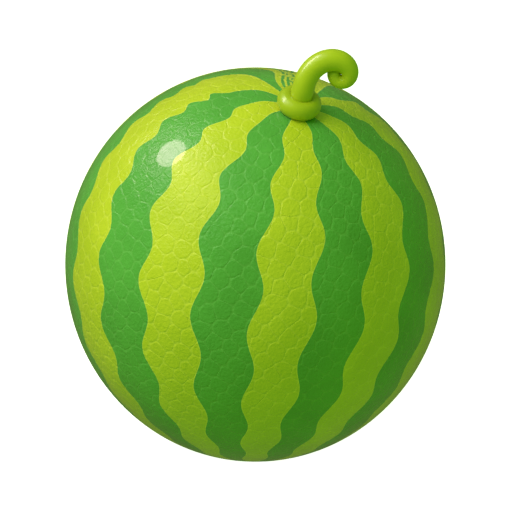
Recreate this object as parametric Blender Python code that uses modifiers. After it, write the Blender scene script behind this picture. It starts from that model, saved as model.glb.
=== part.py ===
"""Whole watermelon with the ring at its stem end and a short curled stem.

Metres, +Z up. The origin is the middle of the flat spot that the melon rests on. The fruit is
taller along Z than it is wide. Its stem end leans off the vertical, to the front (-Y) and right (+X).
"""
import math

import bmesh
import bpy
from mathutils import Matrix, Vector

# Fruit: a spheroid, cut by the flat spot that it rests on
FRUIT_RADIUS = 0.120
FRUIT_HALF_HEIGHT = 0.125
FLAT_RADIUS = 0.025

# Stem end: where the stem grows out of the rind
STEM_LEAN = math.radians(24.0)      # off the vertical
STEM_HEADING = math.radians(-57.5)  # seen from above, from +X

# Stem: it leaves the rind square, straightens up, and winds into a spiral with a round tip
STEM_RADIUS = 0.0068
FOOT_LENGTH = 0.007                 # the stretch inside the collar, square to the rind
UPRIGHT_LENGTH = 0.014              # the stretch in which it bends into its upright plane
STRAIGHT_LENGTH = 0.0174            # along its middle, from the rind to where the curl begins

# Curl: its lengths are in radii of the stem, so its turns stay clear of each other on any stem
CURL_REACH = 7.79                   # along its middle, to the middle of the round tip
TIP_SHARE = 0.61                    # radius of the tip
EYE_REACH = 0.03                    # from the middle of the tip to the eye the spiral would reach
CURL_RATE = 2.16                    # turn, in radians, as the length left shrinks by a factor of e
LEAST_BEND = 1.14                   # tightest bend, in radii of the stem at that point
CURL_LEAD = 0.11                    # how far the curl leaves its plane to the back, in radians
LEAD_START = 0.30                   # share of the curl after which it leaves its plane
TAPER_START = 0.44                  # share of the curl after which the stem thins

# Collar: a fat ring round the foot of the stem
COLLAR_RADIUS = 0.0136
COLLAR_HALF_WIDTH = 0.0052          # of its section, across the ring
COLLAR_HALF_HEIGHT = 0.0060         # of its section, along the stem
COLLAR_MIDDLE = 0.0045              # height of its widest part above the rind

GAP = 0.0003                        # between pieces that touch
MERGE = 0.00005

# How finely the solids are divided
FRUIT_STEPS = 72
FRUIT_RINGS = 36
COLLAR_STEPS = 36
COLLAR_POINTS = 14
STEM_POINTS = 52
STEM_MARCH = 12                     # small steps of the stem's path between two points
TIP_POINTS = 5

# Lengths and positions that follow from the sizes
CURL_LENGTH = CURL_REACH * STEM_RADIUS
STEM_LENGTH = STRAIGHT_LENGTH + CURL_LENGTH
TIP_RADIUS = TIP_SHARE * STEM_RADIUS
STEM_AXIS = Vector((math.sin(STEM_LEAN) * math.cos(STEM_HEADING),
                    math.sin(STEM_LEAN) * math.sin(STEM_HEADING),
                    math.cos(STEM_LEAN)))


def fruit_centre_height():
    """Height of the spheroid's middle when its cut face has the flat spot's radius."""
    return FRUIT_HALF_HEIGHT * math.sqrt(1.0 - (FLAT_RADIUS / FRUIT_RADIUS) ** 2)


def stem_foot():
    """Point of the rind whose outward normal is the stem's axis."""
    squares = Vector((FRUIT_RADIUS ** 2, FRUIT_RADIUS ** 2, FRUIT_HALF_HEIGHT ** 2))
    reach = squares * STEM_AXIS
    size = math.sqrt(sum(squares[i] * STEM_AXIS[i] ** 2 for i in range(3)))
    return reach / size + Vector((0.0, 0.0, fruit_centre_height()))


def rind_radius_at_stem():
    """Larger of the rind's two radii of curvature at the stem's foot."""
    reach = math.hypot(FRUIT_RADIUS * math.sin(STEM_LEAN), FRUIT_HALF_HEIGHT * math.cos(STEM_LEAN))
    across = FRUIT_RADIUS ** 2 / reach
    along = (FRUIT_RADIUS * FRUIT_HALF_HEIGHT) ** 2 / reach ** 3
    return max(across, along)


def smooth_step(value):
    """0 up to 0 and 1 from 1, with a smooth rise between."""
    value = min(max(value, 0.0), 1.0)
    return value * value * (3.0 - 2.0 * value)


def curl_share(length, start):
    """How far a length along the stem is through the curl, from 0 at a share of it to 1 at the tip."""
    share = (length - STRAIGHT_LENGTH) / CURL_LENGTH
    return min(max((share - start) / (1.0 - start), 0.0), 1.0)


def stem_radius(length):
    """Radius of the stem at a length along its middle: full, then tapering to the tip."""
    blend = 0.5 - 0.5 * math.cos(math.pi * curl_share(length, TAPER_START))
    return STEM_RADIUS + (TIP_RADIUS - STEM_RADIUS) * blend


def stem_direction(turn, length):
    """Direction of the stem: its turn within the upright plane X-Z, and its lean out of that plane."""
    foot_lean = math.asin(-STEM_AXIS.y)
    lean = foot_lean * (1.0 - smooth_step((length - FOOT_LENGTH) / UPRIGHT_LENGTH))
    lean -= CURL_LEAD * smooth_step(curl_share(length, LEAD_START))
    return Vector((math.cos(lean) * math.cos(turn), -math.sin(lean), math.cos(lean) * math.sin(turn)))


def stem_path():
    """Points along the stem's middle and the radius at each, with a half-round tip."""
    turn = math.atan2(STEM_AXIS.z, STEM_AXIS.x)
    point = stem_foot() + STEM_AXIS * GAP
    length = GAP
    step = (STEM_LENGTH - GAP) / (STEM_POINTS * STEM_MARCH)
    path = [(point.copy(), stem_radius(length))]
    for _ in range(STEM_POINTS):
        for _ in range(STEM_MARCH):
            middle = length + 0.5 * step
            if middle > STRAIGHT_LENGTH:
                left = STEM_LENGTH + EYE_REACH * STEM_RADIUS - middle
                tightest = LEAST_BEND * stem_radius(middle)
                turn -= step / max(left / CURL_RATE, tightest)
            point = point + stem_direction(turn, middle) * step
            length += step
        path.append((point.copy(), stem_radius(length)))
    heading = stem_direction(turn, STEM_LENGTH)
    for i in range(1, TIP_POINTS + 1):
        angle = 0.5 * math.pi * (i - 0.15) / TIP_POINTS
        path.append((point + heading * (TIP_RADIUS * math.sin(angle)), TIP_RADIUS * math.cos(angle)))
    return path


def clear_scene():
    """Start from an empty scene."""
    for old in list(bpy.data.objects):
        bpy.data.objects.remove(old, do_unlink=True)


def make_collection(name):
    """A collection for the object's parts."""
    collection = bpy.data.collections.new(name)
    bpy.context.scene.collection.children.link(collection)
    return collection


def make_material(name, colour, roughness):
    """A plain Principled material with no metal in it."""
    material = bpy.data.materials.new(name)
    material.use_nodes = True
    shader = material.node_tree.nodes["Principled BSDF"]
    shader.inputs["Base Color"].default_value = (*colour, 1.0)
    shader.inputs["Roughness"].default_value = roughness
    shader.inputs["Metallic"].default_value = 0.0
    return material


def rind_material():
    """Glossy green rind."""
    return make_material("rind", (0.14, 0.35, 0.05), 0.30)


def collar_material():
    """Glossy yellow-green ring."""
    return make_material("collar_skin", (0.33, 0.55, 0.03), 0.35)


def stem_material():
    """Glossy yellow-green stem."""
    return make_material("stem_skin", (0.33, 0.55, 0.03), 0.35)


def turned_object(name, outline, steps, closed, collection):
    """A solid turned about its Z axis from an outline of (radius, height) points."""
    mesh = bpy.data.meshes.new(name)
    build = bmesh.new()
    points = [build.verts.new((radius, 0.0, height)) for radius, height in outline]
    for first, second in zip(points, points[1:]):
        build.edges.new((first, second))
    if closed:
        build.edges.new((points[-1], points[0]))
    build.to_mesh(mesh)
    build.free()
    turned = bpy.data.objects.new(name, mesh)
    collection.objects.link(turned)
    screw = turned.modifiers.new("turn", "SCREW")
    screw.axis = "Z"
    screw.angle = 2.0 * math.pi
    screw.steps = steps
    screw.render_steps = steps
    screw.use_merge_vertices = True
    screw.merge_threshold = MERGE
    screw.use_smooth_shade = True
    return turned


def fruit_outline():
    """The spheroid's outline from its top down to the flat spot, and in to the axis."""
    middle = fruit_centre_height()
    last = math.pi - math.asin(FLAT_RADIUS / FRUIT_RADIUS)
    outline = []
    for i in range(FRUIT_RINGS + 1):
        angle = last * i / FRUIT_RINGS
        outline.append((FRUIT_RADIUS * math.sin(angle), middle + FRUIT_HALF_HEIGHT * math.cos(angle)))
    outline[-1] = (FLAT_RADIUS, 0.0)
    outline.append((0.0, 0.0))
    return outline


def make_fruit(collection):
    """The melon: one solid, standing on its flat spot."""
    fruit = turned_object("fruit", fruit_outline(), FRUIT_STEPS, False, collection)
    fruit.data.materials.append(rind_material())
    return fruit


def collar_outline():
    """Section of the ring: an ellipse, cut by the stem's bore inside and by the rind below."""
    bore = STEM_RADIUS + GAP
    centre = COLLAR_RADIUS - COLLAR_HALF_WIDTH
    rind_radius = rind_radius_at_stem()

    def seat(radius):
        return GAP - radius ** 2 / (2.0 * rind_radius)

    first = math.acos((bore - centre) / COLLAR_HALF_WIDTH)
    last = -math.asin((COLLAR_MIDDLE - seat(COLLAR_RADIUS)) / COLLAR_HALF_HEIGHT)
    outline = []
    for i in range(COLLAR_POINTS + 1):
        angle = first + (last - first) * i / COLLAR_POINTS
        radius = centre + COLLAR_HALF_WIDTH * math.cos(angle)
        height = COLLAR_MIDDLE + COLLAR_HALF_HEIGHT * math.sin(angle)
        outline.append((radius, max(height, seat(radius))))
    outline.append((bore, seat(bore)))
    return outline


def make_collar(collection):
    """The ring, seated square on the rind round the stem's foot."""
    collar = turned_object("stem_collar", collar_outline(), COLLAR_STEPS, True, collection)
    turn = STEM_AXIS.to_track_quat("Z", "Y").to_matrix().to_4x4()
    collar.matrix_world = Matrix.Translation(stem_foot()) @ turn
    collar.data.materials.append(collar_material())
    return collar


def make_stem(collection):
    """The stem: a tapered tube on its spiral path, with filled ends."""
    path = stem_path()
    curve = bpy.data.curves.new("stem", "CURVE")
    curve.dimensions = "3D"
    curve.bevel_depth = 1.0
    curve.bevel_resolution = 4
    curve.use_fill_caps = True
    spline = curve.splines.new("POLY")
    spline.points.add(len(path) - 1)
    for knot, (point, radius) in zip(spline.points, path):
        knot.co = (*point, 1.0)
        knot.radius = radius
    spline.use_smooth = True
    curve.materials.append(stem_material())
    stem = bpy.data.objects.new("stem", curve)
    collection.objects.link(stem)
    return stem


def main():
    """Build the melon."""
    clear_scene()
    collection = make_collection("watermelon")
    make_fruit(collection)
    make_collar(collection)
    make_stem(collection)


main()
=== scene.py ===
"""Looks of the watermelon: an embossed, striped rind, a fat ring at the stem end and a curled stem.

Metres, +Z up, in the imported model's frame. The front is -Y.
"""
import math

import bmesh
import bpy
import numpy as np
from mathutils import Matrix, Vector


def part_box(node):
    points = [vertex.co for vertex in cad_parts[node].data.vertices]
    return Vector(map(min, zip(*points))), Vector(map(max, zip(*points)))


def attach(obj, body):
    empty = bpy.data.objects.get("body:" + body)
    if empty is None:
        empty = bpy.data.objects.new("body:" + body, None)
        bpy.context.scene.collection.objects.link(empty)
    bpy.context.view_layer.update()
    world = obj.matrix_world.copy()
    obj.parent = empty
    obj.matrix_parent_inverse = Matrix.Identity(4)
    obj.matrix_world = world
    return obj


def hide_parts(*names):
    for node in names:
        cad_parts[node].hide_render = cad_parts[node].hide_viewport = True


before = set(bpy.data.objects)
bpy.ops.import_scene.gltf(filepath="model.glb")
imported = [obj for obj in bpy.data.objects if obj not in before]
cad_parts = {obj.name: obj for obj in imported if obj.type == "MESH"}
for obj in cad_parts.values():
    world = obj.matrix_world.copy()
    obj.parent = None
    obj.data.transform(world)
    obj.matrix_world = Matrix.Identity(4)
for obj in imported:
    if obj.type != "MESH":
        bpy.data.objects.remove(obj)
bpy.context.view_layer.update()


FRUIT_LOW, FRUIT_HIGH = (Vector(corner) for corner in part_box("fruit"))

# Fruit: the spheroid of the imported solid, on its flat spot
FRUIT_RADIUS = 0.120
FLAT_RADIUS = 0.025
FLAT_SHARE = math.sqrt(1.0 - (FLAT_RADIUS / FRUIT_RADIUS) ** 2)
FRUIT_HALF_HEIGHT = (FRUIT_HIGH.z - FRUIT_LOW.z) / (1.0 + FLAT_SHARE)
FRUIT_MIDDLE = FRUIT_HALF_HEIGHT * FLAT_SHARE
FRUIT_AXES = np.array([FRUIT_RADIUS, FRUIT_RADIUS, FRUIT_HALF_HEIGHT])
FRUIT_CENTRE = np.array([0.0, 0.0, FRUIT_MIDDLE])

# Stem end and stem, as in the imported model
STEM_LEAN = math.radians(24.0)
STEM_HEADING = math.radians(-57.5)
STEM_AXIS = Vector((math.sin(STEM_LEAN) * math.cos(STEM_HEADING),
                    math.sin(STEM_LEAN) * math.sin(STEM_HEADING),
                    math.cos(STEM_LEAN)))
STEM_RADIUS = 0.0068
FOOT_LENGTH = 0.007
UPRIGHT_LENGTH = 0.014
STRAIGHT_LENGTH = 0.0174
CURL_REACH = 7.79
TIP_SHARE = 0.61
EYE_REACH = 0.03
CURL_RATE = 2.16
LEAST_BEND = 1.05
CURL_LEAD = 0.11
LEAD_START = 0.30
TAPER_START = 0.44
CURL_LENGTH = CURL_REACH * STEM_RADIUS
STEM_LENGTH = STRAIGHT_LENGTH + CURL_LENGTH
TIP_RADIUS = TIP_SHARE * STEM_RADIUS
COLLAR_RADIUS = 0.0136
COLLAR_HALF_WIDTH = 0.0052
COLLAR_HALF_HEIGHT = 0.0060
COLLAR_MIDDLE = 0.0045
HOLD = 0.0001                              # how far the ring presses into the stem and the rind
TIP_PRESS = 0.0016                         # how far the stem's tip presses on into the curl's eye
STEM_RINGS = 150
STEM_SIDES = 40
TIP_RINGS = 10
COLLAR_POINTS = 40
COLLAR_STEPS = 120

# Rind relief: flat cells with shallow V-shaped grooves between them
CELL_COUNT = 1900
CELL_JITTER = 0.42
CELL_SEED = 11
RELAX_ROUNDS = 2
RELAX_SHARE = 0.7                          # how far a seed moves to its cell's middle in each round
CELL_SEGMENT = 0.0027
FINE_SEGMENT = 0.0010                      # near the stem, where the stripes are thin
FINE_REACH = 0.030
GROOVE_HALF_WIDTH = 0.00042
GROOVE_DEPTH = 0.00019
GROOVE_SHAKE = 0.00022                     # how far a groove wanders off its straight line
GROOVE_SEED = 17
FLAT_SOFTNESS = 0.0006                     # how softly the rind turns into its flat spot
PLAIN_SHARES = (1.0, 0.5)                  # rings of a cell, as shares of its size
SPLIT_SHARES = (1.0, 0.72, 0.48, 0.24)     # and of a cell that a stripe's edge crosses
FINE_SHARES = (1.0, 0.82, 0.64, 0.46, 0.24)    # and of a cell near the stem

# Stripes: evenly spaced edges, each a wave along the melon. Angles are in degrees, to the right
STRIPE_PAIRS = 11                          # of one lime and one green stripe
FIRST_EDGE = -3.0                          # left edge of the lime stripe in front
EDGES_TO_LEFT = 5                          # edges that come before it in the order round the melon
WAVE_SWING = 1.6
WAVES_FRONT = 15.4                         # waves, in radians per unit of stretched latitude
WAVES_SIDE = 19.4
WAVES_START = 10.0                         # from here to the side the waves shorten
WAVES_SPAN = 50.0                          # and over this angle
FIRST_PHASE = 276.0
PHASE_OVER_LIME = 218.0                    # how far the phase moves on over a stripe
PHASE_OVER_GREEN = 296.0
STEM_TURN = -9.0                           # turn of the fan of edges round the stem
STEM_SPREAD = 155.0                        # where the fan's front part ends, on both sides
FAN_SIDE = 100.0                           # the edge on the body that runs to that end
BACK_FAN = (180.0 - STEM_SPREAD) / (180.0 - FAN_SIDE)    # turn at the stem per turn behind it
STEM_TURN_REACH = 0.23                     # how far from the stem the fan holds
SWING_REACH = 0.12                         # and how far from it the waves grow to their full swing
STRIPE_EDGE = 0.00022                      # half the width of the change from lime to green

# Core line: the stripes run round it, as longitudes run round an axis. All on the unit sphere
CORE_LOW = np.array([-0.09, -0.27])        # its x and y, extended to the sphere's foot
CORE_HIGH = np.array([0.23, 0.75])         # and to its top
CORE_HUMP = np.array([-0.07, -0.49])       # its bow at the stem's height
HUMP_BEND = 1.50
BLOSSOM_END = np.array([-0.02, -0.05])     # where the stripes really meet below
BLOSSOM_BEND = 0.40
STEM_REACH = 0.41                          # how far from the stem the core line turns to it


def smooth_step(value):
    """0 up to 0 and 1 from 1, with a smooth rise between. Works on numbers and arrays."""
    value = np.clip(value, 0.0, 1.0)
    return value * value * (3.0 - 2.0 * value)


# ---------------------------------------------------------------- stripes

def stem_end():
    """The stem's foot on the unit sphere that the spheroid is stretched from."""
    reach = FRUIT_AXES * np.array(STEM_AXIS)
    return reach / np.linalg.norm(reach)


STEM_END = stem_end()


def near_stem(unit, reach):
    """1 at the stem, falling away over a reach on the unit sphere."""
    apart = np.linalg.norm(unit - STEM_END, axis=1)
    return np.exp(-(apart / reach) ** 2)


def core_line(unit):
    """Where the stripes' core line passes each point's height, as x and y."""
    height = unit[:, 2:]
    line = CORE_LOW + (CORE_HIGH - CORE_LOW) * (height + 1.0) / 2.0
    line = line + CORE_HUMP * np.exp(-np.abs(STEM_END[2] - height) / HUMP_BEND)
    line = line + (BLOSSOM_END - CORE_LOW) * np.exp(-(height + 1.0) / BLOSSOM_BEND)
    to_stem = near_stem(unit, STEM_REACH)[:, None]
    return line * (1.0 - to_stem) + STEM_END[:2] * to_stem


def fan_angle(side):
    """An edge's angle at the stem, from its angle on the body, which is within half a turn."""
    front = STEM_SPREAD * math.sin(math.radians(90.0 * min(abs(side) / FAN_SIDE, 1.0)))
    back = BACK_FAN * max(abs(side) - FAN_SIDE, 0.0)
    return STEM_TURN + math.copysign(front + back, side)


def stripe_edges():
    """Every edge round the melon: its place on the body and at the stem, its waves and its phase."""
    step = 180.0 / STRIPE_PAIRS
    edges = []
    for number in range(-EDGES_TO_LEFT, 2 * STRIPE_PAIRS - EDGES_TO_LEFT):
        on_body = FIRST_EDGE + step * number
        side = (on_body + 180.0) % 360.0 - 180.0
        limes = math.floor((number + 1) / 2)
        phase = FIRST_PHASE + PHASE_OVER_LIME * limes + PHASE_OVER_GREEN * (number - limes)
        shorter = smooth_step((abs(side) - WAVES_START) / WAVES_SPAN)
        waves = WAVES_FRONT + (WAVES_SIDE - WAVES_FRONT) * shorter
        edges.append((on_body, on_body - side + fan_angle(side), waves, phase))
    return edges


def stripe_distance(unit):
    """Signed distance in metres to the nearest stripe edge, above zero inside a lime stripe."""
    across = unit[:, :2] - core_line(unit)
    longitude = np.degrees(np.arctan2(across[:, 0], -across[:, 1]))
    reach = np.hypot(across[:, 0], across[:, 1])
    colatitude = np.clip(np.arccos(np.clip(unit[:, 2], -0.9995, 0.9995)), 0.25, 3.1)
    stretched = np.log(np.tan(colatitude / 2.0))
    to_stem = near_stem(unit, STEM_TURN_REACH)
    steady = near_stem(unit, SWING_REACH)
    lines = []
    for on_body, at_stem, waves, phase in stripe_edges():
        wave = WAVE_SWING * (1.0 - steady) * np.sin(waves * stretched + math.radians(phase))
        lines.append(on_body + (at_stem - on_body) * to_stem + wave)
    lines = np.maximum.accumulate(lines, axis=0)    # where two edges meet, the stripe between them ends
    turned = lines[0] + np.mod(longitude - lines[0], 360.0)
    count = (lines <= turned).sum(axis=0)
    apart = np.abs(np.mod(turned - lines + 180.0, 360.0) - 180.0).min(axis=0)
    metres = np.radians(apart) * reach * FRUIT_RADIUS
    return np.where(count % 2 == 0, metres, -metres)


# ---------------------------------------------------------------- rind mesh

def hull_triangles(points):
    """Triangles of the convex hull of points on a sphere, wound outwards."""
    build = bmesh.new()
    for point in points:
        build.verts.new(point)
    build.verts.index_update()
    bmesh.ops.convex_hull(build, input=build.verts[:])
    triangles = np.array([[corner.index for corner in face.verts] for face in build.faces])
    build.free()
    a, b, c = (points[triangles[:, i]] for i in range(3))
    inward = np.einsum("ij,ij->i", np.cross(b - a, c - a), a + b + c) < 0.0
    triangles[inward] = triangles[inward][:, ::-1]
    return triangles


def cell_seeds():
    """Evenly spread, jittered points on the unit sphere."""
    draw = np.random.default_rng(CELL_SEED)
    number = np.arange(CELL_COUNT) + 0.5
    height = 1.0 - 2.0 * number / CELL_COUNT
    turn = math.pi * (1.0 + math.sqrt(5.0)) * number
    ring = np.sqrt(1.0 - height ** 2)
    points = np.stack([ring * np.cos(turn), ring * np.sin(turn), height], axis=1)
    spacing = math.sqrt(4.0 * math.pi / CELL_COUNT)
    points = points + draw.normal(0.0, CELL_JITTER * spacing * 0.5, points.shape)
    return points / np.linalg.norm(points, axis=1, keepdims=True)


def cell_corners(points, triangles):
    """The point of the sphere that is as far from each of a triangle's three seeds."""
    a, b, c = (points[triangles[:, i]] for i in range(3))
    normal = np.cross(b - a, c - a)
    return normal / np.linalg.norm(normal, axis=1, keepdims=True)


def cell_loops(triangles, total):
    """For each seed, its triangles in order round it."""
    following = [{} for _ in range(total)]
    for number, (a, b, c) in enumerate(triangles):
        following[a][b] = (c, number)
        following[b][c] = (a, number)
        following[c][a] = (b, number)
    loops = []
    for links in following:
        start = next(iter(links))
        loop, current = [], start
        while True:
            current, number = links[current]
            loop.append(number)
            if current == start:
                break
        loops.append(loop)
    return loops


def relaxed(points):
    """Moves each seed part of the way to the middle of its cell, so the cells get rounder."""
    triangles = hull_triangles(points)
    corners = cell_corners(points, triangles)
    middles = np.array([corners[loop].mean(axis=0) for loop in cell_loops(triangles, len(points))])
    moved = points + RELAX_SHARE * (middles - points)
    return moved / np.linalg.norm(moved, axis=1, keepdims=True)


def rounded_ring(ring, rounds):
    """A closed ring of points with its corners smoothed."""
    for _ in range(rounds):
        ring = 0.5 * ring + 0.25 * (np.roll(ring, 1, axis=0) + np.roll(ring, -1, axis=0))
    return ring


class RindMesh:
    """Points of the unit sphere with their depths and ring numbers, and the faces between them."""

    def __init__(self):
        self.points, self.depths, self.rings, self.faces = [], [], [], []

    def add(self, point, depth, ring):
        """Adds a point and returns its number."""
        self.points.append(point / np.linalg.norm(point))
        self.depths.append(depth)
        self.rings.append(ring)
        return len(self.points) - 1


def stem_apart(point):
    """Distance of a point of the unit sphere from the stem, in metres on the melon."""
    return np.linalg.norm(point - STEM_END) * FRUIT_RADIUS


def build_cells():
    """Every cell as rings of points from its groove's floor to its middle. Neighbours share the floor."""
    seeds = cell_seeds()
    for _ in range(RELAX_ROUNDS):
        seeds = relaxed(seeds)
    triangles = hull_triangles(seeds)
    corners = cell_corners(seeds, triangles)
    loops = cell_loops(triangles, len(seeds))
    mesh = RindMesh()
    corner_ids = [mesh.add(corner, GROOVE_DEPTH, 0) for corner in corners]
    sides = {}
    draw = np.random.default_rng(GROOVE_SEED)

    def side(first, second):
        """Point numbers between two corners, from the first to the second, without either."""
        key = (min(first, second), max(first, second))
        if key not in sides:
            start, end = corners[key[0]], corners[key[1]]
            length = np.linalg.norm(end - start) * FRUIT_RADIUS
            fine = stem_apart(0.5 * (start + end)) < FINE_REACH
            parts = max(1, round(length / (FINE_SEGMENT if fine else CELL_SEGMENT)))
            shakes = draw.normal(0.0, GROOVE_SHAKE / FRUIT_RADIUS, (parts, 3))
            sides[key] = [mesh.add(start + (end - start) * i / parts + shakes[i], GROOVE_DEPTH, 0)
                          for i in range(1, parts)]
        return sides[key] if key[0] == first else sides[key][::-1]

    groove = GROOVE_HALF_WIDTH / FRUIT_RADIUS
    for loop in loops:
        outer = []
        for first, second in zip(loop, loop[1:] + loop[:1]):
            outer.append(corner_ids[first])
            outer.extend(side(first, second))
        ring = np.array([mesh.points[i] for i in outer])
        middle = ring.mean(axis=0)
        split = np.ptp(np.sign(stripe_distance(ring))) > 0.0
        shares = SPLIT_SHARES if split else PLAIN_SHARES
        if stem_apart(middle) < FINE_REACH:
            shares = FINE_SHARES
        rings = [outer]
        for level, share in enumerate(shares, 1):
            shape = rounded_ring(ring, 1 + level)
            away = shape - middle
            size = np.linalg.norm(away, axis=1, keepdims=True)
            shape = middle + away * share * np.maximum(1.0 - groove / size, 0.3)
            rings.append([mesh.add(point, 0.0, level) for point in shape])
        centre = mesh.add(middle, 0.0, len(shares) + 1)
        total = len(outer)
        for wider, inner in zip(rings, rings[1:]):
            for i in range(total):
                j = (i + 1) % total
                mesh.faces.append((wider[i], wider[j], inner[j], inner[i]))
        for i in range(total):
            mesh.faces.append((rings[-1][i], rings[-1][(i + 1) % total], centre))
    return mesh


def on_spheroid(unit, depth):
    """Points at a depth under the spheroid, settled on the flat spot below."""
    normal = unit / FRUIT_AXES
    normal = normal / np.linalg.norm(normal, axis=1, keepdims=True)
    points = FRUIT_CENTRE + unit * FRUIT_AXES - normal * depth[:, None]
    level = points[:, 2]
    points[:, 2] = 0.5 * (level + np.sqrt(level ** 2 + FLAT_SOFTNESS ** 2))
    return points


def new_object(name, points, faces, smooth=True):
    """A mesh object from points and faces."""
    mesh = bpy.data.meshes.new(name)
    mesh.from_pydata([tuple(point) for point in points], [], [tuple(face) for face in faces])
    mesh.validate()
    if smooth:
        mesh.shade_smooth()
    made = bpy.data.objects.new(name, mesh)
    bpy.context.scene.collection.objects.link(made)
    return made


def add_number(mesh, name, values):
    """Stores one number per point on a mesh, for its material to read."""
    layer = mesh.attributes.new(name, "FLOAT", "POINT")
    layer.data.foreach_set("value", np.asarray(values, dtype=np.float32))


def crease(mesh, rings):
    """Keeps the grooves crisp: the edges along their floors and their rims are sharp."""
    ends = np.empty(2 * len(mesh.edges), dtype=np.int32)
    mesh.edges.foreach_get("vertices", ends)
    rings = np.asarray(rings)[ends.reshape(-1, 2)]
    sharp = (rings[:, 0] == rings[:, 1]) & (rings[:, 0] <= 1)
    layer = mesh.attributes.new("sharp_edge", "BOOLEAN", "EDGE")
    layer.data.foreach_set("value", sharp)


def make_rind():
    """The melon's skin."""
    cells = build_cells()
    unit = np.array(cells.points)
    depths = np.array(cells.depths)
    rind = new_object("melon_rind", on_spheroid(unit, depths), cells.faces)
    crease(rind.data, cells.rings)
    add_number(rind.data, "stripe", stripe_distance(unit))
    add_number(rind.data, "groove", depths / GROOVE_DEPTH)
    rind.data.materials.append(rind_material())
    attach(rind, "root")
    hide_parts("fruit")
    return rind


# ---------------------------------------------------------------- stem and collar

def stem_foot():
    """Point of the rind that the stem grows out of."""
    return Vector(FRUIT_CENTRE + STEM_END * FRUIT_AXES)


def curl_share(length, start):
    """How far a length along the stem is through the curl, from 0 at a share of it to 1 at the tip."""
    share = (length - STRAIGHT_LENGTH) / CURL_LENGTH
    return min(max((share - start) / (1.0 - start), 0.0), 1.0)


def stem_radius(length):
    """Radius of the stem at a length along its middle."""
    blend = 0.5 - 0.5 * math.cos(math.pi * curl_share(length, TAPER_START))
    return STEM_RADIUS + (TIP_RADIUS - STEM_RADIUS) * blend


def stem_direction(turn, length):
    """Direction of the stem at a length, from its turn in the upright plane."""
    lean = math.asin(-STEM_AXIS.y) * (1.0 - smooth_step((length - FOOT_LENGTH) / UPRIGHT_LENGTH))
    lean -= CURL_LEAD * smooth_step(curl_share(length, LEAD_START))
    return Vector((math.cos(lean) * math.cos(turn), -math.sin(lean), math.cos(lean) * math.sin(turn)))


def stem_path(march=8):
    """Points, directions and radii along the stem, from its foot to its round tip."""
    turn = math.atan2(STEM_AXIS.z, STEM_AXIS.x)
    length = 0.0
    point = stem_foot()
    step = (STEM_LENGTH + TIP_PRESS) / (STEM_RINGS * march)
    path = [(point.copy(), STEM_AXIS.copy(), stem_radius(length))]
    for _ in range(STEM_RINGS):
        for _ in range(march):
            middle = length + 0.5 * step
            if middle > STRAIGHT_LENGTH:
                left = STEM_LENGTH + EYE_REACH * STEM_RADIUS - middle
                turn -= step / max(left / CURL_RATE, LEAST_BEND * stem_radius(middle))
            point = point + stem_direction(turn, middle) * step
            length += step
        path.append((point.copy(), stem_direction(turn, length), stem_radius(length)))
    heading = path[-1][1]
    for i in range(1, TIP_RINGS):
        angle = 0.5 * math.pi * i / TIP_RINGS
        path.append((point + heading * (TIP_RADIUS * math.sin(angle)), heading,
                     TIP_RADIUS * math.cos(angle)))
    path.append((point + heading * TIP_RADIUS, heading, 0.0))
    return path


def make_stem():
    """The curled stem as a smooth tube whose rings don't twist."""
    path = stem_path()
    points, faces = [], []
    across = path[0][1].orthogonal().normalized()
    for centre, heading, radius in path[:-1]:
        across = (across - heading * across.dot(heading)).normalized()
        other = heading.cross(across)
        for i in range(STEM_SIDES):
            angle = 2.0 * math.pi * i / STEM_SIDES
            points.append(centre + (across * math.cos(angle) + other * math.sin(angle)) * radius)
    for ring in range(len(path) - 2):
        low, high = ring * STEM_SIDES, (ring + 1) * STEM_SIDES
        for i in range(STEM_SIDES):
            j = (i + 1) % STEM_SIDES
            faces.append((low + i, low + j, high + j, high + i))
    points.append(path[-1][0])
    tip, last = len(points) - 1, (len(path) - 2) * STEM_SIDES
    faces.extend((last + i, last + (i + 1) % STEM_SIDES, tip) for i in range(STEM_SIDES))
    faces.append(tuple(range(STEM_SIDES - 1, -1, -1)))
    stem = new_object("curled_stem", points, faces)
    stem.data.materials.append(stem_material())
    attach(stem, "root")
    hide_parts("stem")
    return stem


def seat_height(radius):
    """Height of the rind round the stem's foot, less the ring's hold."""
    return -HOLD - radius ** 2 / (2.0 * FRUIT_RADIUS)


def collar_outline():
    """Section of the fat ring as (radius, height) round the stem's foot, pressed on stem and rind."""
    bore = STEM_RADIUS - HOLD
    centre = COLLAR_RADIUS - COLLAR_HALF_WIDTH
    first = math.acos((bore - centre) / COLLAR_HALF_WIDTH)
    last = -math.asin(COLLAR_MIDDLE / COLLAR_HALF_HEIGHT)
    outline = []
    for i in range(COLLAR_POINTS + 1):
        angle = first + (last - first) * i / COLLAR_POINTS
        radius = centre + COLLAR_HALF_WIDTH * math.cos(angle)
        height = COLLAR_MIDDLE + COLLAR_HALF_HEIGHT * math.sin(angle)
        outline.append((radius, max(height, seat_height(radius))))
    outline.append((bore, seat_height(bore)))
    return outline


def make_collar():
    """The fat ring at the foot of the stem."""
    outline = collar_outline()
    place = Matrix.Translation(stem_foot()) @ STEM_AXIS.to_track_quat("Z", "Y").to_matrix().to_4x4()
    points, faces = [], []
    total = len(outline)
    for step in range(COLLAR_STEPS):
        angle = 2.0 * math.pi * step / COLLAR_STEPS
        for radius, height in outline:
            points.append(place @ Vector((radius * math.cos(angle), radius * math.sin(angle), height)))
    for step in range(COLLAR_STEPS):
        here, there = step * total, ((step + 1) % COLLAR_STEPS) * total
        for i in range(total):
            j = (i + 1) % total
            faces.append((here + i, here + j, there + j, there + i))
    collar = new_object("stem_ring", points, faces)
    collar.data.materials.append(collar_material())
    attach(collar, "root")
    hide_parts("stem_collar")
    return collar


# ---------------------------------------------------------------- materials

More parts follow.
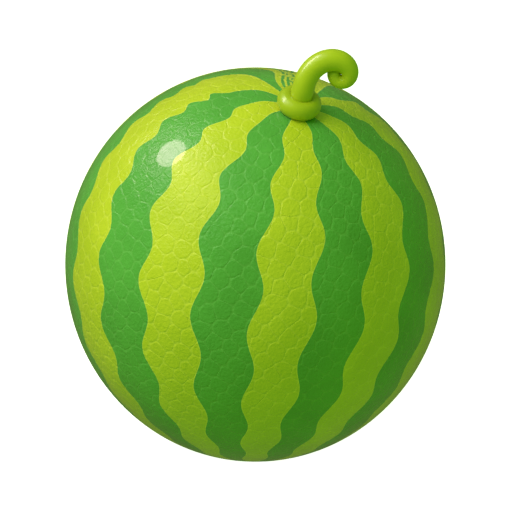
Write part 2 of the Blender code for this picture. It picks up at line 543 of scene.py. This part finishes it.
class Nodes:
    """Short calls for building a node material."""

    def __init__(self, name):
        self.material = bpy.data.materials.new(name)
        self.material.use_nodes = True
        self.tree = self.material.node_tree
        self.shader = self.tree.nodes["Principled BSDF"]

    def add(self, kind, **settings):
        """A new node with some of its settings."""
        node = self.tree.nodes.new(kind)
        for key, value in settings.items():
            setattr(node, key, value)
        return node

    def link(self, source, target):
        """Joins an output to an input."""
        self.tree.links.new(source, target)

    def number(self, name):
        """A number that the mesh stores at each point."""
        node = self.add("ShaderNodeAttribute", attribute_name=name)
        return node.outputs["Fac"]

    def ramp(self, value, low, high, to_low=0.0, to_high=1.0, smooth=True):
        """A value mapped from one range to another."""
        node = self.add("ShaderNodeMapRange")
        node.interpolation_type = "SMOOTHSTEP" if smooth else "LINEAR"
        for key, number in (("From Min", low), ("From Max", high), ("To Min", to_low), ("To Max", to_high)):
            node.inputs[key].default_value = number
        self.link(value, node.inputs["Value"])
        return node.outputs["Result"]

    def mix(self, share, first, second, blend="MIX"):
        """A mix of two colours, each a link or a plain colour."""
        node = self.add("ShaderNodeMix", data_type="RGBA", blend_type=blend)
        for socket, value in ((node.inputs[6], first), (node.inputs[7], second)):
            if isinstance(value, tuple):
                socket.default_value = (*value, 1.0)
            else:
                self.link(value, socket)
        if isinstance(share, float):
            node.inputs[0].default_value = share
        else:
            self.link(share, node.inputs[0])
        return node.outputs[2]

    def noise(self, scale, detail=2.0, roughness=0.5):
        """Noise in the object's own space."""
        place = self.add("ShaderNodeTexCoord")
        node = self.add("ShaderNodeTexNoise")
        node.inputs["Scale"].default_value = scale
        node.inputs["Detail"].default_value = detail
        node.inputs["Roughness"].default_value = roughness
        self.link(place.outputs["Object"], node.inputs["Vector"])
        return node.outputs["Fac"]

    def spheroid_normal(self):
        """The smooth spheroid's normal, for a gloss that lies over the grooves."""
        last = self.add("ShaderNodeTexCoord").outputs["Object"]
        steps = (("SUBTRACT", FRUIT_CENTRE), ("DIVIDE", FRUIT_AXES ** 2), ("NORMALIZE", None))
        for operation, amount in steps:
            node = self.add("ShaderNodeVectorMath", operation=operation)
            self.link(last, node.inputs[0])
            if amount is not None:
                node.inputs[1].default_value = tuple(amount)
            last = node.outputs["Vector"]
        return last

    def bump(self, height, strength, distance):
        """A normal that a height tilts."""
        node = self.add("ShaderNodeBump")
        node.inputs["Strength"].default_value = strength
        node.inputs["Distance"].default_value = distance
        self.link(height, node.inputs["Height"])
        return node.outputs["Normal"]


LIME = (0.500, 0.535, 0.026)
LIME_DEEP = (0.430, 0.485, 0.016)          # the deeper tone of its mottling
GREEN = (0.088, 0.345, 0.058)
GREEN_DEEP = (0.072, 0.30, 0.047)
LIME_LINE = (0.72, 0.68, 0.10)             # a thin line along a stripe's edge, on its lime side
GREEN_LINE = (0.045, 0.265, 0.10)          # and on its green side
LINE_SHARE = 0.55
LIME_LINE_WIDTH = 0.0006
GREEN_LINE_WIDTH = 0.0007
LINE_FULL = 0.0002                         # how near the edge the line has its full colour
# Painted highlight: paler colours for the groove floors, standing in for the light the grooves catch
LIME_GROOVE_HIGHLIGHT = (0.72, 0.68, 0.14)
GREEN_GROOVE_HIGHLIGHT = (0.20, 0.46, 0.14)
GROOVE_HIGHLIGHT_SHARE = 0.22                         # how much of the painted highlight colour a groove's floor takes
STEM_COLOUR = (0.445, 0.495, 0.018)
STEM_DEEP = (0.40, 0.46, 0.014)
COLLAR_COLOUR = (0.40, 0.455, 0.016)
COLLAR_DEEP = (0.355, 0.42, 0.012)


def rind_material():
    """Glossy skin with lime and green stripes, faint mottling, a fine grain and painted highlights along
    the grooves.
    """
    nodes = Nodes("rind_skin")
    stripe = nodes.number("stripe")
    mottle = nodes.ramp(nodes.noise(28.0, 3.0), 0.3, 0.7)
    # painted highlight: the groove floors are lightened towards a paler colour, standing in for the light
    # they catch
    groove = nodes.ramp(nodes.number("groove"), 0.0, 1.0, 0.0, GROOVE_HIGHLIGHT_SHARE)
    lime = nodes.mix(groove, nodes.mix(mottle, LIME, LIME_DEEP), LIME_GROOVE_HIGHLIGHT)
    green = nodes.mix(groove, nodes.mix(mottle, GREEN, GREEN_DEEP), GREEN_GROOVE_HIGHLIGHT)
    lime_line = nodes.ramp(stripe, LIME_LINE_WIDTH, LINE_FULL, 0.0, LINE_SHARE)
    green_line = nodes.ramp(stripe, -GREEN_LINE_WIDTH, -LINE_FULL, 0.0, LINE_SHARE)
    lime = nodes.mix(lime_line, lime, LIME_LINE)
    green = nodes.mix(green_line, green, GREEN_LINE)
    colour = nodes.mix(nodes.ramp(stripe, -STRIPE_EDGE, STRIPE_EDGE), green, lime)
    shader = nodes.shader
    nodes.link(colour, shader.inputs["Base Color"])
    shader.inputs["Roughness"].default_value = 0.34
    shader.inputs["Specular IOR Level"].default_value = 0.75
    shader.inputs["Coat Weight"].default_value = 0.6
    shader.inputs["Coat Roughness"].default_value = 0.05
    nodes.link(nodes.spheroid_normal(), shader.inputs["Coat Normal"])
    grain = nodes.noise(520.0, 3.0)
    nodes.link(nodes.bump(grain, strength=1.0, distance=0.0005), shader.inputs["Normal"])
    return nodes.material


def skin_material(name, colour, deep):
    """Smooth yellow-green skin with a soft change of tone along it."""
    nodes = Nodes(name)
    mottle = nodes.ramp(nodes.noise(60.0, 2.0), 0.3, 0.7)
    nodes.link(nodes.mix(mottle, colour, deep), nodes.shader.inputs["Base Color"])
    nodes.shader.inputs["Roughness"].default_value = 0.38
    nodes.shader.inputs["Coat Weight"].default_value = 0.4
    nodes.shader.inputs["Coat Roughness"].default_value = 0.12
    grain = nodes.noise(700.0, 2.0)
    nodes.link(nodes.bump(grain, strength=0.12, distance=0.0002), nodes.shader.inputs["Normal"])
    return nodes.material


def stem_material():
    """Skin of the stem."""
    return skin_material("stem_skin_look", STEM_COLOUR, STEM_DEEP)


def collar_material():
    """Skin of the ring, a little deeper than the stem's."""
    return skin_material("collar_skin_look", COLLAR_COLOUR, COLLAR_DEEP)


# ---------------------------------------------------------------- stage, light and camera

VIEW_ELEVATION = math.radians(20.0)
VIEW_DISTANCE = 1.6
VIEW_LENS = 178.1                          # in mm, on a sensor of this width
VIEW_SENSOR = 36.0
VIEW_UP = Vector((0.0, math.sin(VIEW_ELEVATION), math.cos(VIEW_ELEVATION)))
VIEW_BACK = Vector((0.0, -math.cos(VIEW_ELEVATION), math.sin(VIEW_ELEVATION)))
VIEW_RIGHT = Vector((1.0, 0.0, 0.0))
VIEW_AIM = Vector((0.0004, 0.0, 0.12823))
MIDDLE = Vector((0.0, 0.0, FRUIT_MIDDLE))

FLOOR_HALF = 6.0
FLOOR_GLOW = 1.0
BACKDROP = (1.0, 1.0, 1.0)
FILL_LIGHT = (0.285, 0.645, 0.05)
GLOSS_LIGHT = (0.14, 0.15, 0.06)


def toward(right, up, back):
    """A direction given as the camera sees it."""
    return (VIEW_RIGHT * right + VIEW_UP * up + VIEW_BACK * back).normalized()


def make_floor():
    """A plain white floor. It throws no light back up on the melon."""
    corners = [(FLOOR_HALF * x, FLOOR_HALF * y, 0.0) for x, y in ((-1, -1), (1, -1), (1, 1), (-1, 1))]
    floor = new_object("floor", corners, [(0, 1, 2, 3)], smooth=False)
    nodes = Nodes("floor_white")
    nodes.shader.inputs["Base Color"].default_value = (0.8, 0.8, 0.8, 1.0)
    nodes.shader.inputs["Roughness"].default_value = 0.9
    nodes.shader.inputs["Specular IOR Level"].default_value = 0.0
    nodes.shader.inputs["Emission Color"].default_value = (1.0, 1.0, 1.0, 1.0)
    nodes.shader.inputs["Emission Strength"].default_value = FLOOR_GLOW
    floor.data.materials.append(nodes.material)
    floor.visible_diffuse = False
    floor.visible_glossy = False
    return floor


def make_world():
    """White behind everything, a dim tinted light on the melon, and dimmer still in its gloss."""
    world = bpy.data.worlds.new("studio")
    world.use_nodes = True
    tree = world.node_tree
    tree.nodes.clear()
    output = tree.nodes.new("ShaderNodeOutputWorld")
    path = tree.nodes.new("ShaderNodeLightPath")
    shown = None
    for colour, ray in ((FILL_LIGHT, None), (GLOSS_LIGHT, "Is Glossy Ray"), (BACKDROP, "Is Camera Ray")):
        light = tree.nodes.new("ShaderNodeBackground")
        light.inputs["Color"].default_value = (*colour, 1.0)
        if ray is None:
            shown = light.outputs[0]
            continue
        mix = tree.nodes.new("ShaderNodeMixShader")
        tree.links.new(path.outputs[ray], mix.inputs[0])
        tree.links.new(shown, mix.inputs[1])
        tree.links.new(light.outputs[0], mix.inputs[2])
        shown = mix.outputs[0]
    tree.links.new(shown, output.inputs["Surface"])
    bpy.context.scene.world = world


def area_light(name, direction, distance, size, power, colour, roll=0.0, mirrored=True):
    """A soft light of a width and height that looks at the melon's middle from a direction."""
    data = bpy.data.lights.new(name, "AREA")
    data.shape = "ELLIPSE"
    data.size, data.size_y = size
    data.energy = power
    data.color = colour
    light = bpy.data.objects.new(name, data)
    place = Matrix.Translation(MIDDLE + direction * distance)
    facing = (-direction).to_track_quat("-Z", "Y").to_matrix().to_4x4()
    light.matrix_world = place @ facing @ Matrix.Rotation(roll, 4, "Z")
    light.visible_glossy = mirrored
    bpy.context.scene.collection.objects.link(light)
    return light


def shine_only_on(light, objects):
    """Limits a light to some of the objects."""
    lit = bpy.data.collections.new("lit_by_" + light.name)
    for each in objects:
        lit.objects.link(each)
    light.light_linking.receiver_collection = lit


def make_lights(rind, stem, collar):
    """A broad soft key from the upper left, a small window in the rind's gloss and one in the stem's."""
    area_light("key", toward(-0.55, 0.60, 0.60), distance=1.6, size=(1.4, 1.4), power=24.5,
               colour=(1.0, 0.97, 0.90), mirrored=False)
    window = area_light("window", toward(-0.634, 0.764, 0.123), distance=1.2, size=(0.37, 0.29),
                        power=2.9, colour=(1.0, 0.72, 0.78), roll=math.radians(30.0))
    strip = area_light("strip", toward(-0.65, 0.70, 0.28), distance=1.2, size=(1.0, 0.34),
                       power=9.0, colour=(1.0, 0.85, 0.90), roll=math.radians(102.0))
    strip.visible_diffuse = False
    shine_only_on(window, [rind])
    shine_only_on(strip, [stem, collar])


def make_camera():
    """The camera, square on the melon's front from a little above."""
    data = bpy.data.cameras.new("camera")
    data.lens = VIEW_LENS
    data.sensor_width = VIEW_SENSOR
    camera = bpy.data.objects.new("camera", data)
    camera.matrix_world = Matrix((
        (VIEW_RIGHT.x, VIEW_UP.x, VIEW_BACK.x, 0.0),
        (VIEW_RIGHT.y, VIEW_UP.y, VIEW_BACK.y, 0.0),
        (VIEW_RIGHT.z, VIEW_UP.z, VIEW_BACK.z, 0.0),
        (0.0, 0.0, 0.0, 1.0)))
    camera.location = VIEW_AIM + VIEW_BACK * VIEW_DISTANCE
    bpy.context.scene.collection.objects.link(camera)
    bpy.context.scene.camera = camera


def main():
    """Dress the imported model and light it."""
    rind, stem, collar = make_rind(), make_stem(), make_collar()
    make_floor()
    make_world()
    make_lights(rind, stem, collar)
    make_camera()
    bpy.context.scene.view_settings.view_transform = "Standard"


main()
